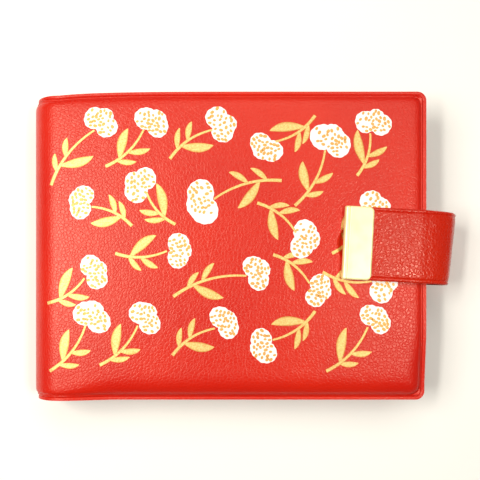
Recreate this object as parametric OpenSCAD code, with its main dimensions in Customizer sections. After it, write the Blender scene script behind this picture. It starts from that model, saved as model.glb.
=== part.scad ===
// Small padded stamp album, closed by a strap with a press stud.
// Frame: origin in the middle of the closed album's underside, +X to the fore edge,
// +Y to the head, +Z up through the front cover. The spine is on the -X side.
// The covers, the spine and the strap roll open: each is cut into stiff stretches,
// hinged where the sides of a polygon drawn round the bend would meet.

/* [Album] */
// Spine to fore edge, closed
album_w = 152; // [120:1:190]
// Tail to head
album_h = 118; // [90:1:150]
// Outside of one cover to outside of the other, closed
album_t = 24; // [20:0.5:32]
// Radius of the two fore-edge corners of each cover
corner_r = 3.4; // [1:0.1:8]

/* [Cover layers] */
// Outer vinyl skin
skin_t = 0.5; // [0.3:0.05:0.8]
// Foam padding over the board
foam_t = 2.2; // [1.5:0.1:3]
// Board stiffener of each cover
board_t = 1.5; // [1:0.1:2]
// Inner vinyl lining
lining_t = 0.4; // [0.3:0.05:0.6]
// Thin welded margin all round the padding
weld_w = 2; // [1.5:0.1:3]
// Roundness of the padding's edge
shoulder_r = 3; // [1:0.1:3.4]
// Room between a board and the weld round it
board_gap = 0.4; // [0.2:0.1:2]
// Radius of the boards' fore-edge corners
board_corner_r = 4; // [0.5:0.5:8]

/* [Leaves] */
// Black card of a leaf
card_t = 0.4; // [0.25:0.05:0.5]
// Clear strip film
strip_t = 0.08; // [0.05:0.01:0.12]
// Height of one clear strip
strip_h = 15; // [10:1:24]
// From one strip's foot to the next one's
strip_pitch = 17; // [12:1:26]
// Glassine sheet between two leaves
glassine_t = 0.05; // [0.03:0.01:0.1]
// Linen of a leaf's hinge
linen_t = 0.2; // [0.1:0.05:0.25]
// Bare linen between the binding and the card
linen_w = 10; // [8:0.5:16]
// Linen glued down on the card
linen_lap = 6; // [3:0.5:10]
// From the leaves' edge back to the covers' fore edge
leaf_gap_fore = 5; // [3:0.5:12]
// From the leaves' edge to the covers' head and tail
leaf_gap_side = 4.5; // [3:0.5:12]
// Card glued inside each cover
end_leaf_t = 0.4; // [0.25:0.05:0.5]

/* [Binding] */
// Depth of the stubs that hold the leaves
stub_w = 4; // [3:0.5:6]
// Linen round the stubs
tape_t = 0.35; // [0.2:0.05:0.5]
// Air between the binding and the covers' lining
binding_gap = 0.35; // [0.3:0.05:1]
// Wire of the staples
staple_d = 0.5; // [0.4:0.05:0.6]
// Width of a staple's crown
staple_w = 14; // [8:1:20]
// Width of the paper tube that joins the binding to the spine
hollow_w = 5.2; // [3:0.1:5.4]
// Wall of that tube
hollow_t = 0.6; // [0.3:0.1:1]

/* [Strap] */
// Width of the strap
strap_w = 27.6; // [16:0.2:40]
// Outer vinyl of the strap
strap_outer_t = 0.9; // [0.5:0.05:1.2]
// Inner vinyl of the strap
strap_inner_t = 0.7; // [0.4:0.05:1]
// Air between the strap and the front cover
strap_gap = 0.8; // [0.7:0.1:2]
// From the fore edge to the strap's tip
strap_reach = 32.3; // [26:0.5:50]
// Straight stretch past the fore edge before the strap turns up
strap_lead = 0.5; // [0.4:0.1:8]
// How far the strap is welded in between skin and lining
strap_tail = 2.8; // [2:0.1:3]
// Lean of the strap, clockwise from above
strap_skew = 3; // [0:0.5:4]
// Strap's middle from the middle of the fore edge
strap_y = -0.5; // [-10:0.5:10]

/* [Clip and press stud] */
// Length of the folded brass clip along the strap
clip_l = 10.9; // [9:0.1:16]
// Width of the clip, across the strap
clip_w = 27.5; // [16:0.1:40]
// Sheet of the clip
clip_t = 0.5; // [0.3:0.05:0.6]
// Radius of the clip's corners
clip_corner_r = 1.6; // [0.5:0.1:3]
// Recess in the cover round the stud
pocket_d = 13; // [11:0.5:18]
// Depth of that recess
pocket_depth = 1.7; // [1.4:0.1:2.2]
// Head of the stud
stud_d = 3.9; // [3:0.1:5]
// Neck of the stud
stud_neck_d = 3.4; // [2.4:0.1:4.4]
// Foot of the stud
stud_foot_d = 9; // [7:0.5:10]
// Rivet of the stud, through the cover
stud_rivet_d = 2.5; // [1.5:0.1:3]
// Washer that the rivet is closed on
washer_d = 8; // [6:0.5:12]
// Thickness of the stud's foot and of the washer
stud_sheet_t = 0.5; // [0.3:0.05:0.6]
// Outside of the socket
socket_d = 10; // [9:0.5:10.5]
// Neck of the socket, through the strap
socket_neck_d = 7; // [6:0.1:8]
// Room round the stud's head inside the socket
snap_gap = 0.5; // [0.4:0.05:0.8]
// Wire of the socket's spring ring
spring_d = 0.5; // [0.3:0.05:0.6]

/* [Hidden] */
$fn = 64;
LEAVES = 6;
// Clearance of a hole round the wire or rivet that passes it
hole_gap = 0.05;
// Cuts pass this far through what they cut
cut = 1;

// Cover section, counted inwards from the outer face
foam_d = skin_t + foam_t;
lining_d = foam_d + board_t;
cover_t = lining_d + lining_t;
half_h = album_h / 2;
fore_x = album_w / 2;
round_r = min(shoulder_r, lining_d - skin_t - 0.2);
board_edge = weld_w + skin_t + board_gap;

// Spine: a half round between the covers
spine_r = album_t / 2;
spine_x = spine_r - fore_x;
spine_z = spine_r;
cavity_r = spine_r - cover_t;
SPINE_TURN = 45;

// Binding: a stack of stubs inside the hollow spine
stub_front_x = spine_x + stub_w / 2;
stub_back_x = spine_x - stub_w / 2;
tape_back_x = stub_back_x - tape_t;
binding_r = cavity_r - binding_gap;
stack_h = 2 * (sqrt(pow(binding_r, 2) - pow(spine_x - tape_back_x, 2)) - tape_t);
leaf_pitch = stack_h / LEAVES;
// The first and last hinge sit further back, so that the next leaf clears them when it turns
hinge_setback = 0.25;
// Air between a stub and the hinged linen in front of it
root_gap = 0.2;
leaf_end_x = fore_x - leaf_gap_fore;
leaf_half_h = half_h - leaf_gap_side;
strip_count = floor((2 * leaf_half_h - 2) / strip_pitch);
// Card and strips stop short of each other at the hinge
strip_gap = 2;
staple_ys = [for (k = [-1:1]) k * leaf_half_h * 0.68];

// Strap: a half round loop past the fore edge, between two straight stretches
strap_t = strap_outer_t + strap_inner_t;
strap_low_z = cover_t - lining_t - strap_t;
strap_top_z = album_t + strap_gap + strap_t;
loop_r = (strap_top_z - strap_low_z) / 2;
loop_z = (strap_top_z + strap_low_z) / 2;
loop_x = fore_x + strap_lead;
STRAP_TURN = 60;
tip_x = fore_x - strap_reach;
strap_under_z = strap_top_z - strap_t;
// Raised skin over the strap's welded tail
tail_wall = 0.6;

// Clip and press stud, at the middle of the clip
snap_x = tip_x + clip_l / 2;
fold_r = strap_t / 2 + clip_t;
pocket_z = album_t - pocket_depth;
socket_under_z = pocket_z + stud_sheet_t + 0.2;
socket_bore_d = stud_d + 2 * snap_gap;
stud_top_z = strap_under_z + 0.4;
spring_z = (socket_under_z + strap_under_z - clip_t) / 2;
spring_ring_r = socket_bore_d / 2;

LEAF_PARTS = ["card", "strips", "linen", "glassine"];

red = [0.86, 0.16, 0.08];
foam_grey = [0.80, 0.79, 0.74];
board_grey = [0.55, 0.53, 0.48];
card_black = [0.07, 0.07, 0.08];
film_clear = [0.85, 0.90, 0.92, 0.45];
glassine_white = [0.93, 0.93, 0.88, 0.7];
linen_black = [0.12, 0.12, 0.13];
kraft = [0.66, 0.52, 0.36];
gold = [0.90, 0.74, 0.38];
steel = [0.75, 0.76, 0.78];

// ---- shapes used by several pieces ----

// Turns an (outwards, y) section about the Y axis through (cx, cz), from angle a0 to a1
module about_y(cx, cz, a0, a1)
    translate([cx, 0, cz]) rotate([90, 0, 0]) rotate([0, 0, a0])
        rotate_extrude(angle = a1 - a0, $fn = 128) children();

// Runs an (outwards, y) section along X, with its outer face at album_t
module along_x(x0, x1)
    translate([x1, 0, album_t]) rotate([0, -90, 0]) linear_extrude(x1 - x0) children();

// Section of a layer from depth d0 to d1, with its two outer corners rounded by r
module layer_section(d0, d1, half, r)
    intersection()
    {
        translate([-d1, -half]) square([d1 - d0, 2 * half]);
        union()
        {
            translate([-d1 - cut, -half]) square([d1 - d0 - r + cut, 2 * half]);
            translate([-d1 - cut, r - half]) square([d1 - d0 + cut, 2 * (half - r)]);
            for (s = [-1, 1]) translate([-d0 - r, s * (half - r)]) circle(r);
        }
    }

// Skin over one stretch of the bend: a padded shell with a thin margin on both sides
module bent_skin(a0, a1)
    difference()
    {
        union()
        {
            about_y(spine_x, spine_z, a0, a1) translate([spine_r, 0])
                layer_section(0, lining_d, half_h - weld_w, round_r);
            spine_sector(lining_d - skin_t, lining_d, half_h, a0, a1);
        }
        about_y(spine_x, spine_z, a0, a1) translate([spine_r, 0])
            layer_section(skin_t, lining_d + cut, half_h - weld_w - skin_t, round_r - skin_t);
    }

// Foam that fills that shell
module bent_foam(a0, a1)
    about_y(spine_x, spine_z, a0, a1) translate([spine_r, 0])
        layer_section(skin_t, lining_d, half_h - weld_w - skin_t, round_r - skin_t);

// Plan of a cover, drawn in from its outline by edge
module cover_plan(edge, r)
{
    w = fore_x - edge - spine_x;
    h = album_h - 2 * edge;
    translate([spine_x, -h / 2]) square([w - r, h]);
    translate([spine_x, r - h / 2]) square([w, h - 2 * r]);
    for (s = [-1, 1]) translate([spine_x + w - r, s * (h / 2 - r)]) circle(r);
}

// Flat stretch of a cover, padded from depth d0 to d1 and drawn in by edge, rounded by r
module cover_block(d0, d1, edge, r)
{
    x1 = fore_x - edge;
    intersection()
    {
        along_x(spine_x, x1) layer_section(d0, d1, half_h - edge, r);
        translate([0, half_h, album_t]) rotate([90, 0, 0]) linear_extrude(album_h)
        {
            translate([spine_x, -d1 - cut]) square([x1 - r - spine_x, d1 - d0 + cut]);
            translate([spine_x, -d1 - cut]) square([x1 - spine_x, d1 - d0 - r + cut]);
            translate([x1 - r, -d0 - r]) circle(r);
        }
        linear_extrude(album_t + cut) cover_plan(edge, max(corner_r - edge, 0.5));
    }
}

// Plate with the cover's plan, from depth d0 to d1
module cover_plate(d0, d1, edge, r)
    translate([0, 0, album_t - d1]) linear_extrude(d1 - d0) cover_plan(edge, r);

// Sector of a full layer of the spine, from depth d0 to d1
module spine_sector(d0, d1, half, a0, a1)
    about_y(spine_x, spine_z, a0, a1)
        translate([spine_r - d1, -half]) square([d1 - d0, 2 * half]);

// Turns what is modelled on the front cover over to the back cover
module to_back() translate([0, 0, album_t]) mirror([0, 0, 1]) children();

// Places what is modelled straight along +X as the strap lies, leaning about the fore edge
module in_strap_frame()
    translate([fore_x, strap_y, 0]) rotate([0, 0, -strap_skew]) translate([-fore_x, 0, 0])
        children();

module at_snap() in_strap_frame() translate([snap_x, 0, 0]) children();

// ---- cover layers, as on the front cover ----

module cover_skin()
{
    difference()
    {
        union()
        {
            cover_block(0, lining_d, weld_w, round_r);
            cover_plate(lining_d - skin_t, lining_d, 0, corner_r);
        }
        cover_block(skin_t, lining_d + cut, weld_w + skin_t, round_r - skin_t);
    }
    bent_skin(90, 90 + SPINE_TURN / 2);
}

// The foam lies over the board, and fills the bend on its own
module cover_foam()
{
    intersection()
    {
        cover_block(skin_t, lining_d, weld_w + skin_t, round_r - skin_t);
        translate([spine_x, -half_h, album_t - foam_d]) cube([album_w, album_h, foam_t]);
    }
    bent_foam(90, 90 + SPINE_TURN / 2);
}

module cover_board()
    cover_plate(foam_d, lining_d, board_edge, board_corner_r);

module cover_lining()
{
    cover_plate(lining_d, cover_t, 0, corner_r);
    spine_sector(lining_d, cover_t, half_h, 90, 90 + SPINE_TURN / 2);
}

module cover_end_leaf()
    translate([spine_x + linen_w / 2, -leaf_half_h, album_t - cover_t - end_leaf_t])
        cube([leaf_end_x - spine_x - linen_w / 2, 2 * leaf_half_h, end_leaf_t]);

// ---- back cover ----

// Room that the strap's welded tail takes, grown by wall
module tail_room(wall, x1)
    in_strap_frame() translate([fore_x - strap_tail - wall, -strap_w / 2 - wall, 0])
        translate([0, 0, strap_low_z - wall])
            cube([x1 - fore_x + strap_tail + wall, strap_w + 2 * wall, strap_t + wall]);

module back_skin() color(red)
    difference()
    {
        union()
        {
            to_back() cover_skin();
            intersection()
            {
                tail_room(tail_wall, fore_x + cut);
                linear_extrude(lining_d) cover_plan(0, corner_r);
            }
        }
        tail_room(0, fore_x + 2 * cut);
    }

module back_foam() color(foam_grey)
    difference()
    {
        to_back() cover_foam();
        tail_room(tail_wall, fore_x + cut);
    }

module back_board() color(board_grey)
    difference()
    {
        to_back() cover_board();
        tail_room(tail_wall, fore_x + cut);
    }

module back_lining() color(red) to_back() cover_lining();

module back_end_leaf() color(card_black) to_back() cover_end_leaf();

// ---- spine, three stretches between the covers ----

// Stretch k = 0, 1, 2 lies 1, 2 or 3 turns on from the back cover
function spine_a0(k) = 270 - SPINE_TURN * (k + 1.5);

module spine_skin(k) color(red) bent_skin(spine_a0(k), spine_a0(k) + SPINE_TURN);

module spine_foam(k) color(foam_grey) bent_foam(spine_a0(k), spine_a0(k) + SPINE_TURN);

module spine_lining(k) color(red)
    spine_sector(lining_d, cover_t, half_h, spine_a0(k), spine_a0(k) + SPINE_TURN);

// ---- binding ----

// The z and x of leaf i's hinge line, i = 0 next to the back cover
function hinge_z(i) = spine_z + (i - (LEAVES - 1) / 2) * leaf_pitch;
function hinge_x(i) = stub_front_x - ((i == 0 || i == LEAVES - 1) ? hinge_setback : 0);

module staple_legs(d)
    for (y = staple_ys, s = [-1, 1])
        translate([spine_x, y + s * staple_w / 2, spine_z - binding_r]) cylinder(h = 2 * binding_r, d = d);

module spine_hollow() color(kraft)
    difference()
    {
        intersection()
        {
            translate([spine_x - cavity_r, -leaf_half_h, spine_z - hollow_w / 2])
                cube([cavity_r - spine_x + tape_back_x, 2 * leaf_half_h, hollow_w]);
            translate([spine_x, 0, spine_z]) rotate([90, 0, 0])
                cylinder(h = album_h, r = cavity_r, center = true, $fn = 128);
        }
        intersection()
        {
            translate([spine_x - cavity_r, -half_h, spine_z - hollow_w / 2 + hollow_t])
                cube([cavity_r - spine_x + tape_back_x - hollow_t, album_h, hollow_w - 2 * hollow_t]);
            translate([spine_x, 0, spine_z]) rotate([90, 0, 0])
                cylinder(h = album_h + cut, r = cavity_r - hollow_t, center = true, $fn = 128);
        }
    }

module stub_stack() color(card_black)
    difference()
    {
        for (i = [0:LEAVES - 1])
            translate([stub_back_x, -leaf_half_h, hinge_z(i) - leaf_pitch / 2 + 0.05])
                cube([hinge_x(i) - root_gap - stub_back_x, 2 * leaf_half_h, leaf_pitch - 0.1]);
        staple_legs(staple_d + 2 * hole_gap);
    }

module stub_tape() color(linen_black)
    difference()
    {
        translate([tape_back_x, -leaf_half_h, spine_z - stack_h / 2 - tape_t])
            cube([stub_w + tape_t - 1, 2 * leaf_half_h, stack_h + 2 * tape_t]);
        translate([stub_back_x, -half_h, spine_z - stack_h / 2]) cube([stub_w + cut, album_h, stack_h]);
        staple_legs(staple_d + 2 * hole_gap);
    }

// Each staple: a crown on the upper side, two legs, two clinched ends below
module stub_staples() color(steel)
{
    top = spine_z + stack_h / 2 + tape_t;
    foot = spine_z - stack_h / 2 - tape_t;
    leg = top - foot;
    for (y = staple_ys)
    {
        translate([spine_x, y - staple_w / 2, top + staple_d / 2]) rotate([-90, 0, 0])
            cylinder(h = staple_w, d = staple_d);
        for (s = [-1, 1]) translate([spine_x, y + s * staple_w / 2, 0])
        {
            translate([0, 0, foot - staple_d / 2]) cylinder(h = leg + staple_d, d = staple_d);
            for (z = [foot - staple_d / 2, top + staple_d / 2]) translate([0, 0, z]) sphere(d = staple_d);
            translate([0, 0, foot - staple_d / 2]) rotate([s * 90, 0, 0])
                cylinder(h = staple_w * 0.36, d = staple_d);
        }
    }
}

// ---- leaves ----

module leaf_frame(i) translate([hinge_x(i), 0, hinge_z(i)]) children();

function leaf_len(i) = leaf_end_x - hinge_x(i);

module leaf_linen(i) color(linen_black) leaf_frame(i)
    translate([0, -leaf_half_h, -linen_t / 2]) cube([linen_w + linen_lap, 2 * leaf_half_h, linen_t]);

module leaf_card(i) color(card_black) leaf_frame(i)
    translate([linen_w, -leaf_half_h, -linen_t / 2 - card_t])
        cube([leaf_len(i) - linen_w, 2 * leaf_half_h, card_t]);

// Both sides of the card carry the same rows of strips
module leaf_strips(i) color(film_clear) leaf_frame(i)
{
    x0 = linen_w + linen_lap + strip_gap;
    for (z = [-linen_t / 2, -linen_t / 2 - card_t - strip_t], k = [0:strip_count - 1])
        translate([x0, (k - strip_count / 2) * strip_pitch + (strip_pitch - strip_h) / 2, z])
            cube([leaf_len(i) - x0 - strip_gap, strip_h, strip_t]);
}

module leaf_glassine(i) color(glassine_white) leaf_frame(i)
    translate([linen_w, 1 - leaf_half_h, linen_t / 2])
        cube([leaf_len(i) - linen_w - 1, 2 * leaf_half_h - 2, glassine_t]);

// ---- front cover ----

module front_skin() color(red)
{
    difference()
    {
        cover_skin();
        at_snap() translate([0, 0, album_t - lining_d]) cylinder(h = lining_d + cut, d = pocket_d);
    }
    at_snap() difference()
    {
        translate([0, 0, pocket_z - skin_t]) cylinder(h = pocket_depth + skin_t, d = pocket_d + 2 * skin_t);
        translate([0, 0, pocket_z]) cylinder(h = pocket_depth + cut, d = pocket_d);
        translate([0, 0, pocket_z - skin_t - cut])
            cylinder(h = skin_t + 2 * cut, d = stud_rivet_d + 2 * hole_gap);
    }
}

module front_foam() color(foam_grey)
    difference()
    {
        cover_foam();
        at_snap() translate([0, 0, pocket_z - skin_t])
            cylinder(h = pocket_depth + skin_t + cut, d = pocket_d + 2 * skin_t);
        at_snap() cylinder(h = album_t, d = stud_rivet_d + 2 * hole_gap);
    }

module front_board() color(board_grey)
    difference()
    {
        cover_board();
        at_snap() cylinder(h = album_t, d = stud_rivet_d + 2 * hole_gap);
        at_snap() translate([0, 0, album_t - lining_d - cut])
            cylinder(h = stud_sheet_t + cut, d = washer_d + 2 * hole_gap);
    }

module front_lining() color(red) cover_lining();

module front_end_leaf() color(card_black) cover_end_leaf();

// ---- press stud ----

module snap_stud() color(gold) at_snap()
{
    rivet_z = album_t - lining_d;
    translate([0, 0, rivet_z]) cylinder(h = pocket_z + 0.1 - rivet_z, d = stud_rivet_d);
    translate([0, 0, pocket_z]) cylinder(h = stud_sheet_t, d = stud_foot_d);
    translate([0, 0, pocket_z]) cylinder(h = stud_top_z - pocket_z - 0.4, d = stud_neck_d);
    // Head: a short drum between two rounded rims
    translate([0, 0, stud_top_z - 1]) rotate_extrude()
    {
        square([stud_d / 2 - 0.4, 1]);
        translate([0, 0.4]) square([stud_d / 2, 0.2]);
        for (z = [0.4, 0.6]) translate([stud_d / 2 - 0.4, z]) circle(0.4);
    }
}

module snap_washer() color(steel) at_snap()
    translate([0, 0, album_t - lining_d]) difference()
    {
        cylinder(h = stud_sheet_t, d = washer_d);
        translate([0, 0, -cut]) cylinder(h = stud_sheet_t + 2 * cut, d = stud_rivet_d + 2 * hole_gap);
    }

module snap_socket() color(gold) at_snap()
    difference()
    {
        union()
        {
            translate([0, 0, socket_under_z])
                cylinder(h = strap_under_z - clip_t - socket_under_z, d = socket_d);
            translate([0, 0, socket_under_z]) cylinder(h = strap_top_z - socket_under_z, d = socket_neck_d);
        }
        translate([0, 0, socket_under_z - cut])
            cylinder(h = strap_top_z - socket_under_z + 2 * cut, d = socket_bore_d);
        // Groove of the spring ring
        translate([0, 0, spring_z - spring_d / 2 - hole_gap])
            cylinder(h = spring_d + 2 * hole_gap, r = spring_ring_r + spring_d / 2 + hole_gap);
    }

module snap_spring() color(steel) at_snap() translate([0, 0, spring_z])
    rotate_extrude() translate([spring_ring_r, 0]) circle(d = spring_d, $fn = 24);

// ---- strap ----

module strap_arc(d0, d1, a0, a1)
    about_y(loop_x, loop_z, a0, a1) translate([loop_r - d1, -strap_w / 2]) square([d1 - d0, strap_w]);

module strap_tail() color(red) in_strap_frame()
{
    translate([fore_x - strap_tail, -strap_w / 2, strap_low_z])
        cube([strap_tail + strap_lead, strap_w, strap_t]);
    strap_arc(0, strap_t, -90, -STRAP_TURN);
}

module strap_low_outer() color(red) in_strap_frame() strap_arc(0, strap_outer_t, -STRAP_TURN, 0);
module strap_low_inner() color(red) in_strap_frame() strap_arc(strap_outer_t, strap_t, -STRAP_TURN, 0);
module strap_high_outer() color(red) in_strap_frame() strap_arc(0, strap_outer_t, 0, STRAP_TURN);
module strap_high_inner() color(red) in_strap_frame() strap_arc(strap_outer_t, strap_t, 0, STRAP_TURN);

module tongue_layer(d0, d1) color(red) in_strap_frame()
{
    x0 = tip_x + fold_r;
    difference()
    {
        union()
        {
            strap_arc(d0, d1, 90, STRAP_TURN);
            translate([x0, -strap_w / 2, strap_top_z - d1]) cube([loop_x - x0, strap_w, d1 - d0]);
        }
        translate([snap_x, 0, strap_under_z - cut])
            cylinder(h = strap_t + 2 * cut, d = socket_neck_d + 2 * hole_gap);
    }
}

module strap_tongue_outer() tongue_layer(0, strap_outer_t);
module strap_tongue_inner() tongue_layer(strap_outer_t, strap_t);

// Plan of one leaf of the clip, with its two inner corners rounded
module clip_plan()
{
    l = clip_l - fold_r;
    r = clip_corner_r;
    translate([0, -clip_w / 2]) square([l - r, clip_w]);
    translate([0, r - clip_w / 2]) square([l, clip_w - 2 * r]);
    for (s = [-1, 1]) translate([l - r, s * (clip_w / 2 - r)]) circle(r);
}

// A sheet folded round the strap's tip; the socket passes its lower leaf
module strap_clip() color(gold) in_strap_frame()
{
    fold_x = tip_x + fold_r;
    fold_z = strap_top_z - strap_t / 2;
    translate([fold_x, 0, strap_top_z]) linear_extrude(clip_t) clip_plan();
    difference()
    {
        translate([fold_x, 0, strap_under_z - clip_t]) linear_extrude(clip_t) clip_plan();
        translate([snap_x, 0, 0]) cylinder(h = album_t * 2, d = socket_neck_d + 2 * hole_gap);
    }
    about_y(fold_x, fold_z, 90, 270)
        translate([fold_r - clip_t, -clip_w / 2]) square([clip_t, clip_w]);
}

// ---- the pieces ----

back_skin();
back_foam();
back_board();
back_lining();
back_end_leaf();
strap_tail();

for (k = [0:2])
{
    stretch = ["low", "mid", "high"][k];
    spine_skin(k);
    spine_foam(k);
    spine_lining(k);
}

spine_hollow();
stub_stack();
stub_tape();
stub_staples();

for (i = [0:LEAVES - 1])
{
    leaf_card(i);
    leaf_strips(i);
    leaf_linen(i);
    leaf_glassine(i);
}

front_skin();
front_foam();
front_board();
front_lining();
front_end_leaf();
snap_stud();
snap_washer();
snap_socket();
snap_spring();
strap_low_outer();
strap_low_inner();
strap_high_outer();
strap_high_inner();
strap_tongue_outer();
strap_tongue_inner();
strap_clip();
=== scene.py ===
"""Small padded stamp album in red vinyl, closed by a strap with a press stud.

Metres, with the origin in the middle of the closed album's underside, +X to the
fore edge, +Y to the head and +Z up through the front cover. The spine is at -X.
"""

import math
import random

import bpy
import numpy as np
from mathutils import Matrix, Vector


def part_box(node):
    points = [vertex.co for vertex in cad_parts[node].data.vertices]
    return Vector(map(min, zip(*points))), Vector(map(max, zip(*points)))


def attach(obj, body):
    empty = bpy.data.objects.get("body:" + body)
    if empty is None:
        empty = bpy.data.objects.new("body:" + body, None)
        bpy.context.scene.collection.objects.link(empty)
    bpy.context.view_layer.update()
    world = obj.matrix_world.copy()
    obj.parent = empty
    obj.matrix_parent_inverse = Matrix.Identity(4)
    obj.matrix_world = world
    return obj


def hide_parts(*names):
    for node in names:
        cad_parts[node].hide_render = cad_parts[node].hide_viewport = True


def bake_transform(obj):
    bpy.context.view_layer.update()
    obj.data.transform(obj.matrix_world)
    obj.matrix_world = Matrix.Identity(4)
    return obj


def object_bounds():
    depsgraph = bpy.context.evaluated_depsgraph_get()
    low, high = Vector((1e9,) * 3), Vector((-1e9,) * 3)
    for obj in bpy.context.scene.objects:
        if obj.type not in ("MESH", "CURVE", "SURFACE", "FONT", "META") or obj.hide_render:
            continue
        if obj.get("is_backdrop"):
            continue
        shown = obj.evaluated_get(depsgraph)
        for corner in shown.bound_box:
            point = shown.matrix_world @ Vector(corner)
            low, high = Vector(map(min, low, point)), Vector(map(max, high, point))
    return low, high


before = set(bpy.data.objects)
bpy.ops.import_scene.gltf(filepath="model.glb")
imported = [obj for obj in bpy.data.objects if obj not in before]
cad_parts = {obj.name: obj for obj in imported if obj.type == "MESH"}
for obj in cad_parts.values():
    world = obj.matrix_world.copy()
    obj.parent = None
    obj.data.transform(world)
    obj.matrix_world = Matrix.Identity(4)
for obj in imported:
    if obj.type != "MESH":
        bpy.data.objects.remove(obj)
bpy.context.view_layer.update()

# ---- Padded skin ------------------------------------------------------------
# Red grained vinyl drawn over foam and board and welded to the lining all round.
# One sheet runs from the back cover's fore edge round the spine to the front one.
# It is made in four parts that meet in the middle of each stiff spine stretch.

MM = 0.001
FORE_X, HALF_H, ALBUM_T = 76.0, 59.0, 24.0
SPINE_X, SPINE_R = -64.0, 12.0
FLAT = FORE_X - SPINE_X
ARC = math.pi * SPINE_R
SHEET = 2 * FLAT + ARC
CORNER_R = 3.4
SKIN_T = 0.5
HEAD_FLANGE_D, TAIL_FLANGE_D, SPINE_FLANGE_D = 1.3, 3.7, 1.0
WELD_W = 2.0
PAD_CORNER_R = 4.0
LINING_D, COVER_T = 4.2, 4.6
STRAP_Y, STRAP_SKEW = -0.5, math.radians(3)
SNAP_X, SNAP_Y = 49.19, 0.905
DISH_D, TAIL_SKIN_D = 1.7, 2.0
TAIL_RISE = (-57, -30)


def spaced(fixed, step):
    """The fixed values, with the gaps between them filled at about this step."""
    out = []
    for a, b in zip(fixed, fixed[1:]):
        count = max(1, round((b - a) / step))
        out += [a + (b - a) * k / count for k in range(count)]
    return np.array(out + [fixed[-1]])


def shell(name, us, vs, place, count=1):
    """A closed sheet, or count of them: place(u, v, side, copy) gives the points in
    millimetres, with side 0 outside and 1 inside."""
    bpy.ops.object.select_all(action="DESELECT")
    bpy.ops.mesh.primitive_grid_add(
        x_subdivisions=len(us) - 1, y_subdivisions=len(vs) - 1, size=1
    )
    obj = bpy.context.object
    obj.name = obj.data.name = name
    thick = obj.modifiers.new("thick", "SOLIDIFY")
    thick.thickness, thick.offset = 0.1, -1
    bpy.ops.object.modifier_apply(modifier=thick.name)
    if count > 1:
        row = obj.modifiers.new("row", "ARRAY")
        row.count = count
        row.use_relative_offset, row.use_constant_offset = False, True
        row.constant_offset_displace = (0, 0, 0)
        bpy.ops.object.modifier_apply(modifier=row.name)
    flat = np.empty(len(obj.data.vertices) * 3)
    obj.data.vertices.foreach_get("co", flat)
    flat = flat.reshape(count, 2, -1, 3)
    u = us[np.rint((flat[..., 0] + 0.5) * (len(us) - 1)).astype(int)]
    v = vs[np.rint((flat[..., 1] + 0.5) * (len(vs) - 1)).astype(int)]
    copy, side, _ = np.indices(u.shape)
    points = np.stack(place(u, v, side, copy), -1) * MM
    obj.data.vertices.foreach_set("co", points.ravel())
    corner = np.empty(len(obj.data.loops), int)
    obj.data.loops.foreach_get("vertex_index", corner)
    sheet_uv = np.stack([u.ravel(), v.ravel()], -1)[corner] * MM
    obj.data.uv_layers.active.data.foreach_set("uv", sheet_uv.ravel())
    obj.data.update()
    bpy.ops.object.shade_smooth_by_angle(angle=math.radians(50))
    return obj


def round_corner(dx, dy, corner_r):
    """Draws a square corner in to a round one: distances from its two edges."""
    a = np.clip((corner_r - dx) / corner_r, 0, 1)
    b = np.clip((corner_r - dy) / corner_r, 0, 1)
    in_corner = (a > 0) & (b > 0)
    dx = np.where(in_corner, corner_r * (1 - a * np.sqrt(1 - b * b / 2)), dx)
    dy = np.where(in_corner, corner_r * (1 - b * np.sqrt(1 - a * a / 2)), dy)
    return dx, dy


def edge_distances(s, y, inset=0.0, corner_r=CORNER_R):
    """Moves (s, y) into the rounded outline. Gives the distances from the fore edge
    and from the head or tail."""
    dx = np.minimum(s, SHEET - s) - inset
    dy = HALF_H - np.abs(y) - inset
    dx, dy = round_corner(dx, dy, corner_r)
    return dx + inset, dy + inset


def outline_distance(dx, dy, corner_r):
    a, b = np.maximum(corner_r - dx, 0), np.maximum(corner_r - dy, 0)
    return np.where((a > 0) & (b > 0), corner_r - np.hypot(a, b), np.minimum(dx, dy))


def at_strap(x, y):
    """The place (x, y) in the strap's own leaning frame."""
    x, y = x - FORE_X, y - STRAP_Y
    c, s = math.cos(STRAP_SKEW), math.sin(STRAP_SKEW)
    return FORE_X + x * c - y * s, x * s + y * c


def smooth(a, b, x):
    t = np.clip((x - a) / (b - a), 0, 1)
    return t * t * (3 - 2 * t)


def off_spine(s):
    """0 on the spine, 1 where the cover is fully flat."""
    return smooth(0, 22, FLAT - np.minimum(s, SHEET - s))


def flange_depth(s, y):
    """The weld lies near the face at the head, the fore edge and the spine's ends,
    and near the lining at the tail."""
    at_tail = 1 - smooth(*TAIL_RISE, y)
    flat = HEAD_FLANGE_D + (TAIL_FLANGE_D - HEAD_FLANGE_D) * at_tail
    return SPINE_FLANGE_D + (flat - SPINE_FLANGE_D) * off_spine(s)


def pad_depth(s, y, dx, dy):
    """Depth of the padding's outside below the cover's face."""
    at_tail = 1 - smooth(*TAIL_RISE, y)
    width = 3.0 + (1.5 + 5.0 * at_tail) * off_spine(s)
    t = np.clip(outline_distance(dx - WELD_W, dy - WELD_W, PAD_CORNER_R) / width, 0, 1)
    return flange_depth(s, y) * (1 - (1 - (1 - t) ** 2.6) ** (1 / 1.8))


def over_tail(s, y):
    """1 over the strap's welded tail, on the back cover."""
    tail_x, tail_y = at_strap(FORE_X - s, y)
    over = (1 - smooth(14.2, 16.6, np.abs(tail_y))) * smooth(70.6, 72.4, tail_x)
    return np.where(s < FLAT, over, 0)


def lining_depth(s, y, dx, dy):
    """The lining lies on the board and turns out to the skin round it."""
    e = outline_distance(dx, dy, CORNER_R)
    met = np.minimum(flange_depth(s, y) + SKIN_T, LINING_D)
    depth = met + (LINING_D - met) * smooth(1.7, 2.85, e)
    return depth + (LINING_D - depth) * over_tail(s, y)


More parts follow.
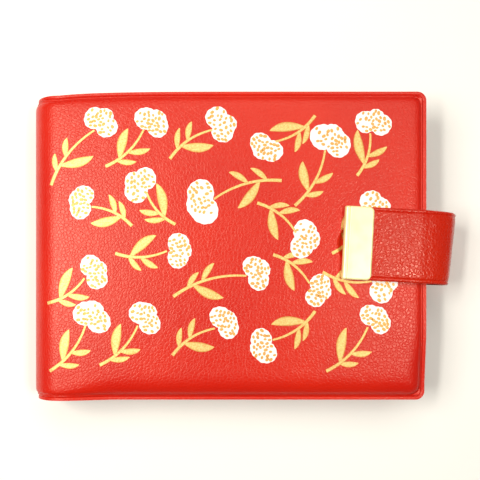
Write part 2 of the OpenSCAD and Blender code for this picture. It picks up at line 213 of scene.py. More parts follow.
def weld_relief(dx, dy):
    """Tooled lines of the welding die: a groove, a ridge and a fainter groove."""
    e = outline_distance(dx, dy, CORNER_R)
    return (
        0.25 * np.exp(-(((e - 1.2) / 0.18) ** 2))
        - 0.3 * np.exp(-(((e - 1.75) / 0.25) ** 2))
        + 0.16 * np.exp(-(((e - 2.5) / 0.16) ** 2))
    )


def skin_depth(s, y, dx, dy):
    depth = pad_depth(s, y, dx, dy) + weld_relief(dx, dy)
    # Dish round the stud, on the front cover
    x = np.where(s > SHEET / 2, FORE_X - (SHEET - s), -1000)
    around = np.hypot(x - SNAP_X, y - SNAP_Y)
    depth = depth + DISH_D * (1 - smooth(5.4, 7.6, around))
    over = np.where(depth > TAIL_SKIN_D, over_tail(s, y), 0)
    return depth + (TAIL_SKIN_D - depth) * over


def head_dip(s, y):
    """The head edge draws in towards the spine, where the bend takes up vinyl."""
    from_spine = np.maximum(FLAT - np.minimum(s, SHEET - s), 0)
    return 1.6 * np.exp(-from_spine / 15) * smooth(5, HALF_H, y)


def fold_sheet(s, y, dx, dy, depth):
    """The place at s along the sheet, from the back fore edge round to the front."""
    turn = np.clip((s - FLAT) / SPINE_R, 0, math.pi)
    radius = SPINE_R - depth
    on_flat = (s < FLAT) | (s > FLAT + ARC)
    x = np.where(on_flat, FORE_X - dx, SPINE_X - radius * np.sin(turn))
    z = SPINE_R - radius * np.cos(turn)
    y = np.copysign(HALF_H - dy, y)
    return x, y - head_dip(s, y), z


# (name, the two bodies at its ends, from, to), in shares of the half round; nothing bends the
# parts
PARTS = (
    ("back", "root", "spine_low", None, 0.25),
    ("spine_low", "spine_low", "spine_mid", 0.25, 0.5),
    ("spine_high", "spine_mid", "spine_high", 0.5, 0.75),
    ("front", "spine_high", "front_cover", 0.75, None),
)
EDGE_STEPS = [0, 0.08, 0.2, 0.5, 0.8, 0.95, 1.08, 1.2, 1.32, 1.45, 1.6, 1.75, 1.9, 2.05]
EDGE_STEPS += [2.2, 2.35, 2.5, 2.65, 2.85, 3.1, 3.5, 4, 4.6, 5.4, 6.4, 7.6, 9.2, 11.2]


def sheet_rows(start, end, inset):
    """Rows of one part along the sheet, and its rows from tail to head."""
    steps = [e for e in EDGE_STEPS if e > inset + 0.05]
    across = [-HALF_H + inset] + [-HALF_H + e for e in steps]
    middle = spaced([-18, -7, 9, 18], 0.9) if start is None or end is None else [0]
    across = spaced(across + list(middle) + [-c for c in reversed(across)], 2.3)
    if start is None:
        along = spaced([inset] + steps + [FLAT], 2.3)
        along = np.append(along, spaced([FLAT + 0.5, FLAT + ARC * end - 0.05], 0.55))
        along = np.append(along, FLAT + ARC * end)
    elif end is None:
        fore = [SHEET - e for e in reversed(steps)] + [SHEET - inset]
        dish = [SHEET - FORE_X + SNAP_X + d for d in (-8, 8)]
        a = FLAT + ARC * start
        along = np.append([a], spaced([a + 0.05, FLAT + ARC], 0.55))
        along = np.append(along, spaced([FLAT + ARC, dish[0]], 2.3)[1:])
        along = np.append(along, spaced(dish, 0.6)[1:])
        along = np.append(along, spaced([dish[1]] + fore, 2.3)[1:])
    else:
        a, b = FLAT + ARC * start, FLAT + ARC * end
        along = np.concatenate([[a], spaced([a + 0.05, b - 0.05], 0.5), [b]])
    return along, across


def bend_with_spine(obj, part):
    """Bakes the part's placement into its mesh; it does not bend it, and the bodies and shares it
    reads from the part are not used.
    """
    _, low_body, high_body, start, end = part
    start = 0.0 if start is None else start
    end = 1.0 if end is None else end
    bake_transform(obj)


def layer(prefix, nodes, inset, corner_r, outside, inside):
    """The four parts of one layer of the covers, each standing for its CAD nodes."""
    made = []
    for part, stands_for in zip(PARTS, nodes):
        along, across = sheet_rows(part[3], part[4], inset)

        def place(s, y, side, copy):
            dx, dy = edge_distances(s, y, inset, corner_r)
            depth = np.where(side == 0, outside(s, y, dx, dy), inside(s, y, dx, dy))
            return fold_sheet(s, y, dx, dy, depth)

        obj = shell(f"{prefix}_{part[0]}", along, across, place)
        bend_with_spine(obj, part)
        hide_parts(*stands_for)
        made.append(obj)
    return made


def skin_inside(s, y, dx, dy):
    return np.minimum(skin_depth(s, y, dx, dy) + SKIN_T, lining_depth(s, y, dx, dy) - 0.01)


def new_material(name):
    made = bpy.data.materials.new(name)
    made.use_nodes = True
    return made, made.node_tree, made.node_tree.nodes["Principled BSDF"]


def add(tree, kind, feeds=None, **settings):
    """Adds a node; each feed is a socket to link or a value."""
    made = tree.nodes.new(kind)
    for key, value in settings.items():
        setattr(made, key, value)
    for key, value in (feeds or {}).items():
        if isinstance(value, bpy.types.NodeSocket):
            tree.links.new(value, made.inputs[key])
        else:
            made.inputs[key].default_value = value
    return made


def colour_mix(tree, factor, a, b):
    """Mixes two colours; a Mix node keeps its colours in inputs 6 and 7, output 2."""
    feeds = {0: factor, 6: a, 7: b}
    return add(tree, "ShaderNodeMix", feeds, data_type="RGBA").outputs[2]


def spread(tree, value, low, high, to_low=0.0, to_high=1.0):
    """Spreads values from low to high over to_low to to_high."""
    feeds = {"Value": value, "From Min": low, "From Max": high}
    feeds.update({"To Min": to_low, "To Max": to_high})
    return add(tree, "ShaderNodeMapRange", feeds).outputs["Result"]


# Leather grain pressed into vinyl: uneven cells a little over a millimetre wide
# between soft creases, with finer pores on them.
grain = bpy.data.node_groups.new("leather_grain", "ShaderNodeTree")
for label, kind, way in (
    ("Vector", "NodeSocketVector", "INPUT"),
    ("Depth", "NodeSocketFloat", "INPUT"),
    ("Normal", "NodeSocketVector", "OUTPUT"),
    ("Crease", "NodeSocketFloat", "OUTPUT"),
    ("Patches", "NodeSocketFloat", "OUTPUT"),
):
    grain.interface.new_socket(label, in_out=way, socket_type=kind)
given = grain.nodes.new("NodeGroupInput").outputs
flat = given["Vector"]
warp = add(grain, "ShaderNodeTexNoise", {"Vector": flat, "Scale": 420.0, "Detail": 3.0})
feeds = {0: warp.outputs["Color"], 1: (0.0011, 0.0011, 0.0011)}
shift = add(grain, "ShaderNodeVectorMath", feeds, operation="MULTIPLY").outputs[0]
where = add(grain, "ShaderNodeVectorMath", {0: flat, 1: shift}, operation="ADD").outputs[0]
feeds = {"Vector": where, "Scale": 780.0}
cells = add(grain, "ShaderNodeTexVoronoi", feeds, feature="DISTANCE_TO_EDGE")
crease = spread(grain, cells.outputs["Distance"], 0.0, 0.22)
pores = add(grain, "ShaderNodeTexNoise", {"Vector": where, "Scale": 2600.0, "Detail": 4.0})
swell = add(grain, "ShaderNodeTexNoise", {"Vector": flat, "Scale": 170.0, "Detail": 2.0})
patches = add(grain, "ShaderNodeTexNoise", {"Vector": flat, "Scale": 28.0, "Detail": 3.0})
height = crease
for noise, share in ((pores, 0.35), (swell, 2.0)):
    feeds = {0: noise.outputs["Fac"], 1: share}
    part = add(grain, "ShaderNodeMath", feeds, operation="MULTIPLY").outputs[0]
    height = add(grain, "ShaderNodeMath", {0: height, 1: part}, operation="ADD").outputs[0]
feeds = {"Height": height, "Distance": given["Depth"], "Strength": 1.0}
bump = add(grain, "ShaderNodeBump", feeds)
results = grain.nodes.new("NodeGroupOutput").inputs
grain.links.new(bump.outputs["Normal"], results["Normal"])
grain.links.new(crease, results["Crease"])
grain.links.new(patches.outputs["Fac"], results["Patches"])


def grained_vinyl(name, light, deep, rough, depth):
    """Plasticised PVC: glossier on the cells than in the creases between them, and painted darker
    in the creases as shade.
    """
    made, tree, surface = new_material(name)
    place = add(tree, "ShaderNodeTexCoord").outputs["UV"]
    marks = add(tree, "ShaderNodeGroup", {}, node_tree=grain)
    tree.links.new(place, marks.inputs["Vector"])
    marks.inputs["Depth"].default_value = depth
    tone = colour_mix(tree, spread(tree, marks.outputs["Patches"], 0.3, 0.7), light, deep)
    # The creases between the cells are mixed towards the deep tone: painted shade in the grain's
    # hollows.
    tone = colour_mix(tree, spread(tree, marks.outputs["Crease"], 0, 1, 0.22, 0.0), tone, deep)
    tree.links.new(tone, surface.inputs["Base Color"])
    gloss = spread(tree, marks.outputs["Crease"], 0, 1, rough + 0.08, rough)
    tree.links.new(gloss, surface.inputs["Roughness"])
    tree.links.new(marks.outputs["Normal"], surface.inputs["Normal"])
    surface.inputs["IOR"].default_value = 1.54
    surface.inputs["Specular Tint"].default_value = (1, 0.80, 0.66, 1)
    return made


cover_vinyl = grained_vinyl(
    "cover_vinyl", (0.64, 0.012, 0.0008, 1), (0.57, 0.006, 0.0005, 1), 0.33, 0.00004
)
skin = layer(
    "skin",
    (["back_skin"], ["spine_low_skin", "spine_mid_skin"], ["spine_high_skin"], ["front_skin"]),
    0.0,
    CORNER_R,
    skin_depth,
    skin_inside,
)
for part in skin:
    part.data.materials.append(cover_vinyl)

# ---- Foam -------------------------------------------------------------------
# Soft polyurethane foam under the skin: it lies over each board and fills the
# spine on its own. Cut from sheet, so open cells show on every side.

FOAM_INSET, FOAM_CORNER_R, BOARD_TOP = 3.2, 6.0, 2.7


def foam_inside(s, y, dx, dy):
    over_board = np.minimum(s, SHEET - s) < FLAT - 0.2
    return np.where(over_board, BOARD_TOP - 0.01, LINING_D - 0.02)


def foam_outside(s, y, dx, dy):
    under_skin = skin_inside(s, y, dx, dy) + 0.02
    return np.minimum(under_skin, foam_inside(s, y, dx, dy) - 0.05)


foam, tree, surface = new_material("foam")
place = add(tree, "ShaderNodeTexCoord").outputs["Object"]
pore = add(tree, "ShaderNodeTexVoronoi", {"Vector": place, "Scale": 2200.0})
open_cell = spread(tree, pore.outputs["Distance"], 0.1, 0.6)
# The pore hollows are painted darker than the cell walls: painted shade in the open cells.
tree.links.new(
    colour_mix(tree, open_cell, (0.55, 0.5, 0.38, 1), (0.82, 0.79, 0.68, 1)),
    surface.inputs["Base Color"],
)
foam_bump = add(tree, "ShaderNodeBump", {"Height": open_cell, "Distance": 0.0002})
tree.links.new(foam_bump.outputs["Normal"], surface.inputs["Normal"])
surface.inputs["Roughness"].default_value = 0.95
for part in layer(
    "foam",
    (["back_foam"], ["spine_low_foam", "spine_mid_foam"], ["spine_high_foam"], ["front_foam"]),
    FOAM_INSET,
    FOAM_CORNER_R,
    foam_outside,
    foam_inside,
):
    part.data.materials.append(foam)

# ---- Boards -----------------------------------------------------------------
# Grey bookbinding board, one in each cover, die-cut with rounded fore corners.


def dress(material, *nodes):
    """Gives CAD nodes that keep their shape their material."""
    for name in nodes:
        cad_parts[name].data.materials.clear()
        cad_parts[name].data.materials.append(material)


greyboard, tree, surface = new_material("greyboard")
place = add(tree, "ShaderNodeTexCoord").outputs["Object"]
fibre = add(tree, "ShaderNodeTexNoise", {"Vector": place, "Scale": 900.0, "Detail": 8.0})
tree.links.new(
    colour_mix(tree, fibre.outputs["Fac"], (0.2, 0.19, 0.17, 1), (0.42, 0.4, 0.36, 1)),
    surface.inputs["Base Color"],
)
surface.inputs["Roughness"].default_value = 0.9
dress(greyboard, "back_board", "front_board")

# ---- Lining -----------------------------------------------------------------
# Thinner vinyl, calendered almost smooth, welded to the skin all round. It runs
# across the inside of both covers and the spine.

lining_vinyl = grained_vinyl(
    "lining_vinyl", (0.60, 0.016, 0.006, 1), (0.50, 0.010, 0.004, 1), 0.45, 0.00002
)
for part in layer(
    "lining",
    (
        ["back_lining"],
        ["spine_low_lining", "spine_mid_lining"],
        ["spine_high_lining"],
        ["front_lining"],
    ),
    0.0,
    CORNER_R,
    lining_depth,
    lambda s, y, dx, dy: lining_depth(s, y, dx, dy) + COVER_T - LINING_D,
):
    part.data.materials.append(lining_vinyl)

# ---- Binding ----------------------------------------------------------------
# Black card stubs in linen tape, wire-stitched through with three staples, and a
# flat kraft paper tube that joins them to the spine's lining.

weave = bpy.data.node_groups.new("plain_weave", "ShaderNodeTree")
for label, kind, way in (
    ("Threads", "NodeSocketFloat", "INPUT"),
    ("Height", "NodeSocketFloat", "OUTPUT"),
):
    weave.interface.new_socket(label, in_out=way, socket_type=kind)
given = weave.nodes.new("NodeGroupInput").outputs
place = add(weave, "ShaderNodeTexCoord").outputs["Object"]
feeds = {"Vector": place, "Scale": given["Threads"], "Distortion": 0.4, "Detail": 1.0}
warp = add(weave, "ShaderNodeTexWave", feeds, bands_direction="X")
weft = add(weave, "ShaderNodeTexWave", feeds, bands_direction="Y")
over = add(
    weave, "ShaderNodeMath", {0: warp.outputs["Fac"], 1: weft.outputs["Fac"]}, operation="MAXIMUM"
)
weave.links.new(over.outputs[0], weave.nodes.new("NodeGroupOutput").inputs["Height"])


def fibrous(name, deep, light, scale, rough, woven=0.0):
    """Paper or cloth: two tones by its fibres, with threads where it is woven; a woven cloth is
    also painted darker in the gaps between threads as shade.
    """
    made, tree, surface = new_material(name)
    place = add(tree, "ShaderNodeTexCoord").outputs["Object"]
    fibres = add(tree, "ShaderNodeTexNoise", {"Vector": place, "Scale": scale, "Detail": 6.0})
    value = fibres.outputs["Fac"]
    if woven:
        threads = add(tree, "ShaderNodeGroup", {}, node_tree=weave)
        threads.inputs["Threads"].default_value = woven
        # The thread height darkens the tone in the gaps between threads: painted shade; the fibre
        # tone is the cloth's own.
        value = add(
            tree, "ShaderNodeMath", {0: threads.outputs["Height"], 1: value}, operation="MULTIPLY"
        ).outputs[0]
    tone = colour_mix(tree, spread(tree, value, 0.2, 0.75), deep, light)
    tree.links.new(tone, surface.inputs["Base Color"])
    relief = add(tree, "ShaderNodeBump", {"Height": value, "Distance": 0.00005, "Strength": 0.6})
    tree.links.new(relief.outputs["Normal"], surface.inputs["Normal"])
    surface.inputs["Roughness"].default_value = rough
    return made


black_card = fibrous(
    "black_card", (0.010, 0.010, 0.011, 1), (0.026, 0.025, 0.026, 1), 2600.0, 0.75
)
book_linen = fibrous(
    "book_linen", (0.008, 0.008, 0.009, 1), (0.045, 0.043, 0.043, 1), 1500.0, 0.85, 420.0
)
kraft = fibrous("kraft_paper", (0.30, 0.19, 0.10, 1), (0.46, 0.32, 0.19, 1), 1400.0, 0.85)
dress(black_card, "stub_stack", "back_end_leaf", "front_end_leaf")
dress(book_linen, "stub_tape")
dress(kraft, "spine_hollow")


def metal(name, light, deep, low, high, scale, stretch, metallic=1.0):
    """Drawn or rolled metal: fine scratches along one way and slight tarnish."""
    made, tree, surface = new_material(name)
    place = add(tree, "ShaderNodeTexCoord").outputs["Object"]
    along = add(tree, "ShaderNodeMapping", {"Vector": place, "Scale": stretch}).outputs["Vector"]
    scratches = add(tree, "ShaderNodeTexNoise", {"Vector": along, "Scale": scale, "Detail": 4.0})
    tarnish = add(tree, "ShaderNodeTexNoise", {"Vector": place, "Scale": 190.0, "Detail": 3.0})
    tone = colour_mix(tree, spread(tree, tarnish.outputs["Fac"], 0.4, 0.75), light, deep)
    tree.links.new(tone, surface.inputs["Base Color"])
    tree.links.new(
        spread(tree, scratches.outputs["Fac"], 0.3, 0.7, low, high), surface.inputs["Roughness"]
    )
    surface.inputs["Metallic"].default_value = metallic
    return made


steel = metal(
    "steel", (0.62, 0.62, 0.63, 1), (0.45, 0.45, 0.46, 1), 0.22, 0.38, 1200.0, (1, 0.1, 1)
)
dress(steel, "stub_staples")

# ---- Leaves -----------------------------------------------------------------
# Six leaves of black card on linen hinges, with six rows of clear film pockets on
# each side, and a sheet of glassine glued in along the hinge before each next leaf.
# A film strip is glued along its foot and stands a hair off the card at its top.

LEAVES, LEAF_HALF_H, LEAF_END_X = 6, 54.5, 71.0
STRIP_ROWS, STRIP_H, STRIP_PITCH, FILM_T = 6, 15.0, 17.0, 0.08
FOOT_LIFT, TOP_LIFT = 0.02, 0.05
TISSUE_LIFT, TISSUE_T = 0.14, 0.05

film, tree, surface = new_material("clear_film")
place = add(tree, "ShaderNodeTexCoord").outputs["Object"]
haze = add(tree, "ShaderNodeTexNoise", {"Vector": place, "Scale": 300.0, "Detail": 4.0})
tree.links.new(spread(tree, haze.outputs["Fac"], 0.3, 0.7, 0.08, 0.18), surface.inputs["Alpha"])
tree.links.new(
    spread(tree, haze.outputs["Fac"], 0.3, 0.7, 0.06, 0.16), surface.inputs["Roughness"]
)
surface.inputs["Base Color"].default_value = (0.80, 0.86, 0.90, 1)

glassine, tree, surface = new_material("glassine")
place = add(tree, "ShaderNodeTexCoord").outputs["Object"]
cloud = add(tree, "ShaderNodeTexNoise", {"Vector": place, "Scale": 500.0, "Detail": 6.0})
tree.links.new(
    colour_mix(tree, cloud.outputs["Fac"], (0.62, 0.62, 0.57, 1), (0.86, 0.86, 0.81, 1)),
    surface.inputs["Base Color"],
)
tree.links.new(spread(tree, cloud.outputs["Fac"], 0.3, 0.7, 0.50, 0.66), surface.inputs["Alpha"])
surface.inputs["Roughness"].default_value = 0.35

for number in range(1, LEAVES + 1):
    dress(black_card, f"leaf_{number}_card")
    dress(book_linen, f"leaf_{number}_linen")
    low, high = (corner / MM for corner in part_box(f"leaf_{number}_card"))
    film_low, film_high = (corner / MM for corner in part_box(f"leaf_{number}_strips"))

    def strip_place(u, v, side, copy):
        face, row = copy // STRIP_ROWS, copy % STRIP_ROWS
        x = film_low.x + u * (film_high.x - film_low.x)
        y = (row - STRIP_ROWS // 2) * STRIP_PITCH + 1 + v * STRIP_H
        lift = FOOT_LIFT + TOP_LIFT * smooth(0.75, 1.0, v) + FILM_T * (1 - side)
        z = np.where(face == 0, high.z + lift, low.z - lift)
        # The strips underneath run the other way, so that their faces point outwards
        return np.where(face == 0, x, film_low.x + film_high.x - x), y, z

    even = np.linspace(0, 1, 9)
    strips = shell(f"film_strips_{number}", even, even, strip_place, 2 * STRIP_ROWS)
    strips.data.materials.append(film)
    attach(strips, f"leaf_{number}")
    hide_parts(f"leaf_{number}_strips")

    def sheet_place(u, v, side, copy):
        x = low.x + u * (LEAF_END_X - 1 - low.x)
        y = (2 * v - 1) * (LEAF_HALF_H - 1)
        cockle = 0.12 * u * (1 + np.sin(9 * u + 5 * v + number)) * smooth(0.05, 0.3, u)
        return x, y, high.z + TISSUE_LIFT + cockle * 0.5 + TISSUE_T * (1 - side)

    tissue = shell(
        f"glassine_sheet_{number}", np.linspace(0, 1, 49), np.linspace(0, 1, 41), sheet_place
    )
    tissue.data.materials.append(glassine)
    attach(tissue, f"leaf_{number}")
    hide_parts(f"leaf_{number}_glassine")

# ---- Print ------------------------------------------------------------------
# Screen print on the front cover: gold ink for the stems, the leaves and the dots,
# white ink for the flower heads, each a thin raised film. Each sprig's drawing is
# simplified; the places and directions of the sprigs follow the real cover's print.

INK_T = 0.05
# Each copy stands a hair above the one before, so that no two faces share a height
INK_STEP = 0.0003
DOTS_EACH, DOT_TRIES, DOT_GAP = 30, 700, 1.22
# Each sprig from its head to the foot of its stem, from the spine and from mid-height
SPRIGS = (
    (28.3, 47.7, 9.2, 23.5), (47.4, 47.2, 29.9, 30.4), (73.9, 46.4, 54.3, 33.1),
    (90.8, 37.3, 109.4, 49.5), (115.2, 40.0, 101.7, 15.3), (131.5, 46.7, 125.3, 26.7),
    (20.8, 16.7, 39.9, 7.6), (42.6, 23.5, 56.4, 8.2), (67.0, 16.7, 96.7, 24.8),
    (105.5, 2.5, 87.4, 16.3), (132.2, 14.5, 115.8, -2.8), (57.4, -1.7, 33.6, -2.8),
    (25.4, -9.9, 7.6, -21.7), (87.4, -10.2, 55.6, -19.2), (110.5, -16.8, 93.5, -3.3),
    (134.9, -14.1, 112.3, -9.9), (24.9, -26.8, 8.6, -47.5), (45.0, -27.2, 27.7, -45.2),
    (74.9, -29.0, 55.3, -41.5), (89.8, -38.0, 109.4, -24.7), (132.2, -27.7, 113.6, -47.5),
)


def on_cover(x, y, raised):
    """The place on the front cover, or on the spine beyond it, seen from above."""
    turn = np.arcsin(np.clip((SPINE_X - x) / SPINE_R, 0, 1))
    s = np.where(x < SPINE_X, FLAT + ARC - SPINE_R * turn, SHEET - (FORE_X - x))
    depth = skin_depth(s, y, np.minimum(s, SHEET - s), HALF_H - np.abs(y)) - raised
    radius = SPINE_R - depth
    round_z = SPINE_R + np.sqrt(np.maximum(radius**2 - np.minimum(x - SPINE_X, 0) ** 2, 0))
    return x, y - head_dip(s, y), np.where(x < SPINE_X, round_z, ALBUM_T - depth)


def disc(u, v):
    """A square of -1 to 1 drawn into a disc: the radius and the direction."""
    x, y = u * np.sqrt(1 - v * v / 2), v * np.sqrt(1 - u * u / 2)
    return np.hypot(x, y), np.arctan2(y, x)


BIG_HEADS = ((115.2 - FORE_X, 40.0), (67.0 - FORE_X, 16.7))
draw = random.Random(11)
heads, dots, stems, blades = [], [], [], []
for hx, hy, fx, fy in SPRIGS:
    hx, fx = hx - FORE_X, fx - FORE_X
    reach = math.hypot(hx - fx, hy - fy)
    toward = math.atan2(hy - fy, hx - fx)
    size = 1.0 + 0.08 * draw.uniform(-1, 1) + (0.2 if (hx, hy) in BIG_HEADS else 0)
    tilt = toward + math.pi / 2 + draw.uniform(-0.35, 0.35)
    lobes = [
        (-2.9 * size, draw.uniform(-0.6, 0.6), 4.0 * size),
        (2.7 * size, draw.uniform(-0.2, 1.0), 4.1 * size),
        (draw.uniform(-1.2, 1.2), -1.6 * size, 3.7 * size),
    ]
    heads.append([hx, hy, tilt, draw.uniform(0, 6.3)] + [q for lobe in lobes for q in lobe])
    # Dots fill one side of the head and thin out to the other
    placed = []
    for _ in range(DOT_TRIES):
        if len(placed) == DOTS_EACH:
            break
        lx, ly, lr = lobes[draw.randrange(3)]
        way, far = draw.uniform(0, 2 * math.pi), lr * math.sqrt(draw.random()) * 0.86
        px, py = lx + far * math.cos(way), ly + far * math.sin(way)
        if px > draw.uniform(0.0, 7.5):
            continue
        if all(math.hypot(px - qx, py - qy) > DOT_GAP for qx, qy in placed):
            placed.append((px, py))
            c, s = math.cos(tilt), math.sin(tilt)
            radius = draw.uniform(0.48, 0.74)
            dots.append((hx + px * c - py * s, hy + px * s + py * c, radius, way))
    # Stem: from the foot to the near side of the head, bowed to one side
    bow = draw.choice((-1, 1)) * reach * 0.16
    nx, ny = -math.sin(toward), math.cos(toward)
    end = 1 - 4.2 / reach
    ex, ey = fx + (hx - fx) * end, fy + (hy - fy) * end
    mx, my = (fx + ex) / 2 + nx * bow, (fy + ey) / 2 + ny * bow
    stems.append((fx, fy, mx, my, ex, ey))
    turn_side = 1 if bow > 0 else -1
    # Leaves: a long one from low on the stem and two smaller ones on the other side
    for at, length, width, side, lean in (
        (0.30, 12.5, 3.3, -turn_side, 0.75),
        (0.22, 7.6, 1.9, turn_side, 0.95),
        (0.45, 8.0, 2.1, turn_side, 0.85),
    ):
        at += draw.uniform(-0.04, 0.04)
        bx = (1 - at) ** 2 * fx + 2 * at * (1 - at) * mx + at * at * ex
        by = (1 - at) ** 2 * fy + 2 * at * (1 - at) * my + at * at * ey
        heading = toward + side * (lean + draw.uniform(-0.12, 0.12))
        blades.append((bx, by, heading, length * draw.uniform(0.92, 1.08), width, -side * 0.5))
heads, dots, stems, blades = (np.array(rows, float) for rows in (heads, dots, stems, blades))


def head_place(u, v, side, copy):
    rho, way = disc(u, v)
    h = heads[copy]
    reach = np.zeros(u.shape)
    for k in (4, 7, 10):
        cx, cy, r = h[..., k], h[..., k + 1], h[..., k + 2]
        along = cx * np.cos(way) + cy * np.sin(way)
        chord = np.sqrt(np.maximum(r * r - cx * cx - cy * cy + along**2, 0))
        reach = np.maximum(reach, along + chord)
    reach = reach + 0.22 * np.abs(np.sin(8.5 * way + h[..., 3]))
    reach = reach + 0.12 * np.sin(5 * way + h[..., 3])
    turned = way + h[..., 2]
    x, y = h[..., 0] + rho * reach * np.cos(turned), h[..., 1] + rho * reach * np.sin(turned)
    return on_cover(x, y, np.where(side == 0, INK_T + INK_STEP * copy, -0.06))


def dot_place(u, v, side, copy):
    rho, way = disc(u, v)
    d = dots[copy]
    reach = rho * d[..., 2] * (1 + 0.18 * np.sin(2 * way + d[..., 3]))
    x, y = d[..., 0] + reach * np.cos(way), d[..., 1] + reach * np.sin(way)
    return on_cover(x, y, np.where(side == 0, INK_T + 0.045, INK_T - 0.03))


def stem_place(u, v, side, copy):
    s = stems[copy]
    fx, fy, mx, my, ex, ey = (s[..., k] for k in range(6))
    x = (1 - u) ** 2 * fx + 2 * u * (1 - u) * mx + u * u * ex
    y = (1 - u) ** 2 * fy + 2 * u * (1 - u) * my + u * u * ey
    tx, ty = (1 - u) * (mx - fx) + u * (ex - mx), (1 - u) * (my - fy) + u * (ey - my)
    length = np.hypot(tx, ty)
    width = (0.66 - 0.26 * u) * v
    raised = np.where(side == 0, INK_T + 0.01 + INK_STEP * copy, -0.07)
    return on_cover(x - ty / length * width, y + tx / length * width, raised)


def blade_place(u, v, side, copy):
    b = blades[copy]
    heading = b[..., 2] + b[..., 5] * u * u
    # Walk along the curling midrib
    x = b[..., 0] + b[..., 3] * u * np.cos(b[..., 2] + b[..., 5] * u * u / 3)
    y = b[..., 1] + b[..., 3] * u * np.sin(b[..., 2] + b[..., 5] * u * u / 3)
    half = b[..., 4] / 2 * np.sin(np.pi * np.clip(u, 0, 1) ** 1.15) ** 0.8
    half = (half + 0.22 * (1 - u) + 0.07) * v
    raised = np.where(side == 0, INK_T - 0.02 + INK_STEP * copy, -0.08)
    return on_cover(x - np.sin(heading) * half, y + np.cos(heading) * half, raised)


def ink(name, light, deep, metallic, rough, scale, rim=0.0):
    """Opaque printing ink, a little uneven where the screen laid it thinner; rim
    darkens it towards the long edges of a stem or leaf."""
    made, tree, surface = new_material(name)
    where = add(tree, "ShaderNodeTexCoord")
    feeds = {"Vector": where.outputs["Object"], "Scale": scale, "Detail": 5.0}
    laid = add(tree, "ShaderNodeTexNoise", feeds)
    tone = colour_mix(tree, spread(tree, laid.outputs["Fac"], 0.35, 0.7), light, deep)
    if rim:
        across = add(tree, "ShaderNodeSeparateXYZ", {0: where.outputs["UV"]}).outputs["Y"]
        side = add(tree, "ShaderNodeMath", {0: across}, operation="ABSOLUTE").outputs[0]
        at_rim = spread(tree, side, 0.6 * MM, 0.95 * MM, 0.0, rim)
        tone = colour_mix(tree, at_rim, tone, (0.42, 0.20, 0.03, 1))
    tree.links.new(tone, surface.inputs["Base Color"])
    relief = add(tree, "ShaderNodeBump", {"Height": laid.outputs["Fac"], "Distance": 0.00003})
    tree.links.new(relief.outputs["Normal"], surface.inputs["Normal"])
    surface.inputs["Metallic"].default_value = metallic
    surface.inputs["Roughness"].default_value = rough
    return made


white_ink = ink("white_ink", (0.95, 0.94, 0.90, 1), (0.88, 0.86, 0.80, 1), 0.0, 0.4, 1500.0)
gold_ink = ink(
    "gold_ink", (0.90, 0.60, 0.23, 1), (0.62, 0.36, 0.10, 1), 0.65, 0.48, 1900.0, 0.75
)
dot_ink = ink("gold_dot_ink", (0.80, 0.42, 0.12, 1), (0.60, 0.28, 0.06, 1), 0.6, 0.5, 1900.0)
for name, start, count_u, count_v, place, rows, material in (
    ("print_heads", -1, 33, 33, head_place, heads, white_ink),
    ("print_dots", -1, 4, 4, dot_place, dots, dot_ink),
    ("print_stems", 0, 29, 3, stem_place, stems, gold_ink),
    ("print_leaves", 0, 21, 5, blade_place, blades, gold_ink),
):
    us, vs = np.linspace(start, 1, count_u), np.linspace(-1, 1, count_v)
    printed = shell(name, us, vs, place, len(rows))
    printed.data.materials.append(material)
    bend_with_spine(printed, PARTS[3])

# ---- Strap ------------------------------------------------------------------
# Two layers of vinyl welded together near both edges, the tail welded in under the
# back cover's fore edge. It loops round the fore edge with the album's own spring,
# and is cut where its stiff stretches meet, like the spine.

STRAP_HALF_W, STRAP_OUTER_T, STRAP_T = 13.8, 0.9, 1.6
LOOP_R, LOOP_X, LOOP_Z = 11.9, 76.5, 14.5
TAIL_X, TIP_X, FOLD_R = 73.2, 43.7, 1.3
LEAD = LOOP_X - TAIL_X
LOOP = math.pi * LOOP_R
CREASE_X, CREASE_L = 73.4, 13.0


def in_strap_frame(x, y):
    c, s = math.cos(STRAP_SKEW), math.sin(STRAP_SKEW)
    x = x - FORE_X
    return FORE_X + x * c + y * s, STRAP_Y - x * s + y * c


def strap_at(s, y, depth):
    """The place at s along the strap, from its tail round the loop to its tip."""
    turn = np.clip((s - LEAD) / LOOP_R, 0, math.pi)
    past = np.maximum(s - LEAD - LOOP, 0)
    radius = LOOP_R - depth
    x = np.where(s < LEAD, TAIL_X + s, LOOP_X + radius * np.sin(turn) - past)
    # The loop stands further out towards the head
    x = x + (0.067 * y - 0.5) * np.sin(turn) ** 2
    z = LOOP_Z - radius * np.cos(turn)
    x, y = in_strap_frame(x, y)
    return x, y, z


def strap_relief(s, y):
    """Weld lines beside the edges, soft padding between them on top, and the crease
    at the fore edge."""
    edge = STRAP_HALF_W - np.abs(y)
    along_top = smooth(LEAD + LOOP * 0.5, LEAD + LOOP * 0.6, s) * (
        1 - smooth(LEAD + LOOP + LOOP_X - 57, LEAD + LOOP + LOOP_X - 55, s)
    )
    return (
        0.24 * np.exp(-(((edge - 1.3) / 0.2) ** 2)) * smooth(LEAD, LEAD + 3, s)
        + 0.30 * (1 - smooth(0, 0.5, edge))
        - 0.14 * smooth(1.4, 3.4, edge) * along_top
        + 0.10 * np.exp(-(((s - LEAD - LOOP - LOOP_X + CREASE_X) / 0.3) ** 2))
        + strap_sag(s)
    )


def strap_sag(s):
    """The strap dips past the crease before it turns into the loop."""
    t = np.clip((LEAD + LOOP + LOOP_X - CREASE_X - s) / CREASE_L, 0, 1)
    return 0.95 * np.sin(math.pi * t) ** 0.9


strap_steps = [0, 0.06, 0.15, 0.3, 0.5, 0.85, 1.05, 1.18, 1.3, 1.42, 1.55, 1.8, 2.2, 2.8, 3.5]
strap_across = [-STRAP_HALF_W + e for e in strap_steps]
strap_across = spaced(strap_across + [-c for c in reversed(strap_across)], 1.4)
strap_end = LEAD + LOOP + LOOP_X - TIP_X - FOLD_R
strap_cuts = (0.0, LEAD + LOOP / 6 * 2, LEAD + LOOP / 6 * 4, strap_end)

